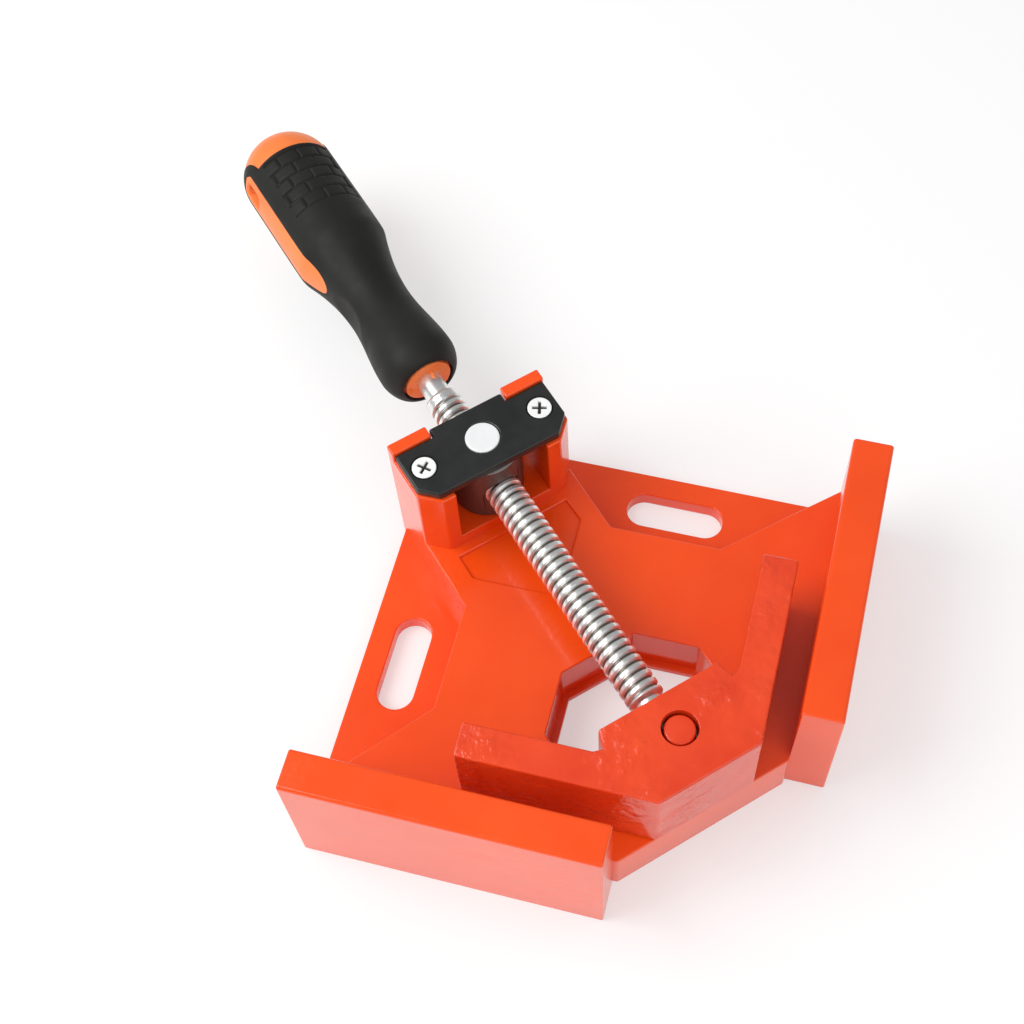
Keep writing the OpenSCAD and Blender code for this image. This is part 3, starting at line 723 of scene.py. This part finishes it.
def cutHole(piece, spare):
    # the hanging hole, as a round-cornered bar taken out across the handle
    cfg = holeShape
    turn = aroundCircle(64)
    corner = cfg["corner"] + spare
    d = cfg["middle"] + corner * np.cos(turn) + np.sign(np.cos(turn)) * (cfg["length"] / 2 - cfg["corner"])
    lateral = corner * np.sin(turn) + np.sign(np.sin(turn)) * (cfg["width"] / 2 - cfg["corner"])
    depth = np.array([-30.0, 30.0])[:, None]
    tilt = math.radians(handleShape["turn"])
    along = handleShape["at"] + d + 0.0 * depth
    left = depth * math.cos(tilt) - lateral * math.sin(tilt)
    up = depth * math.sin(tilt) + lateral * math.cos(tilt)
    rings = mm * (along[..., None] * alongScrew - left[..., None] * acrossScrew
                  + (screwHeight + up)[..., None] * upwards)
    verts, faces = closedTube(rings)
    data = bpy.data.meshes.new("holeBar")
    data.from_pydata(verts.tolist(), [], faces)
    outwards(data)
    bar = bpy.data.objects.new("holeBar", data)
    bpy.context.scene.collection.objects.link(bar)
    cut = piece.modifiers.new("hangingHole", "BOOLEAN")
    cut.operation = "DIFFERENCE"
    cut.solver = "EXACT"
    cut.object = bar
    bakeModifiers(piece)
    bpy.data.objects.remove(bar)


core = meshPiece("handleCore", *joined(closedTube(corePiece()), shankRib()),
                 corePlastic, "spindle", "orange_core", "handle_core")
cutHole(core, spare=0.0)
smooth(core, degrees=40.0)
grip = meshPiece("handleGrip", *closedSleeve(gripPiece()),
                 gripRubber, "spindle", "black_grip", "handle_cover")
cutHole(grip, spare=1.6)
smooth(grip, degrees=48.0)
print("handle moulded:", len(core.data.polygons), "core faces,", len(grip.data.polygons), "grip faces")


# floor, light and camera

studio = dict(
    floorSize=6.0, floorTone=0.95, floorGlow=0.45, floorMirror=0.35, worldStrength=0.59, worldMirror=0.30,
    middle=(0.09, 0.09, 0.03),
    key=dict(place=(-0.12, 0.72, 0.85), power=7.5, size=0.72),
    fill=dict(place=(-0.45, -0.45, 0.70), power=2.4, size=0.9))


def seenRays(tree):
    # two switches: rays from the camera, and mirrored or bent rays
    path = node(tree, "ShaderNodeLightPath")
    mirrored = node(tree, "ShaderNodeMath", operation="MAXIMUM")
    tree.links.new(path.outputs["Is Glossy Ray"], mirrored.inputs[0])
    tree.links.new(path.outputs["Is Transmission Ray"], mirrored.inputs[1])
    return path.outputs["Is Camera Ray"], mirrored.outputs["Value"]


def studioFloor():
    # pale floor that keeps a faint shadow, deeper where it is mirrored
    size = studio["floorSize"] / 2
    data = bpy.data.meshes.new("studioFloor")
    corners = [(-size, -size, 0), (size, -size, 0), (size, size, 0), (-size, size, 0)]
    data.from_pydata(corners, [], [(0, 1, 2, 3)])
    floor = bpy.data.objects.new("studioFloor", data)
    bpy.context.scene.collection.objects.link(floor)
    mat, tree, shader = newFinish("paleFloor")
    tone = studio["floorTone"]
    shader.inputs["Base Color"].default_value = (tone, tone, tone, 1)
    shader.inputs["Roughness"].default_value = 0.9
    shader.inputs["Specular IOR Level"].default_value = 0.0
    white = node(tree, "ShaderNodeEmission", Strength=1.0)
    direct, mirrored = seenRays(tree)
    inMirror = mapRange(tree, mirrored, 0.0, 1.0, 0.0, studio["floorMirror"])
    share = node(tree, "ShaderNodeMath", operation="MULTIPLY_ADD")
    share.inputs[1].default_value = studio["floorGlow"]
    tree.links.new(direct, share.inputs[0])
    tree.links.new(inMirror, share.inputs[2])
    blend = node(tree, "ShaderNodeMixShader")
    tree.links.new(share.outputs["Value"], blend.inputs["Fac"])
    tree.links.new(shader.outputs["BSDF"], blend.inputs[1])
    tree.links.new(white.outputs["Emission"], blend.inputs[2])
    tree.links.new(blend.outputs["Shader"], tree.nodes["Material Output"].inputs["Surface"])
    data.materials.append(mat)


def studioWorld():
    # even white light, dimmer where it is mirrored and white where the camera looks past the floor
    world = bpy.data.worlds.new("studioWorld")
    bpy.context.scene.world = world
    world.use_nodes = True
    tree = world.node_tree
    direct, mirrored = seenRays(tree)
    lighting = mapRange(tree, mirrored, 0.0, 1.0, studio["worldStrength"], studio["worldMirror"])
    strength = node(tree, "ShaderNodeMath", operation="MAXIMUM")
    tree.links.new(lighting, strength.inputs[0])
    tree.links.new(direct, strength.inputs[1])
    tree.links.new(strength.outputs["Value"], tree.nodes["Background"].inputs["Strength"])
    tree.nodes["Background"].inputs["Color"].default_value = (1, 1, 1, 1)


def areaLamp(name, settings):
    data = bpy.data.lights.new(name, "AREA")
    data.energy = settings["power"]
    data.size = settings["size"]
    lamp = bpy.data.objects.new(name, data)
    lamp.location = settings["place"]
    lamp.rotation_mode = "QUATERNION"
    lamp.rotation_quaternion = (Vector(studio["middle"]) - Vector(settings["place"])).to_track_quat("-Z", "Y")
    bpy.context.scene.collection.objects.link(lamp)


studioFloor()
studioWorld()
areaLamp("keyLamp", studio["key"])
areaLamp("fillLamp", studio["fill"])

camera = dict(place=(-0.14519, 0.01296, 0.49253), turnDegrees=(29.439, 2.793, -75.221), lens=57.88)
cameraData = bpy.data.cameras.new("photoCamera")
cameraData.lens = camera["lens"]
cameraData.sensor_width = 36.0
cameraObject = bpy.data.objects.new("photoCamera", cameraData)
cameraObject.location = camera["place"]
cameraObject.rotation_euler = [math.radians(a) for a in camera["turnDegrees"]]
bpy.context.scene.collection.objects.link(cameraObject)
bpy.context.scene.camera = cameraObject
bpy.context.scene.view_settings.view_transform = "Standard"
print("studio and camera set")
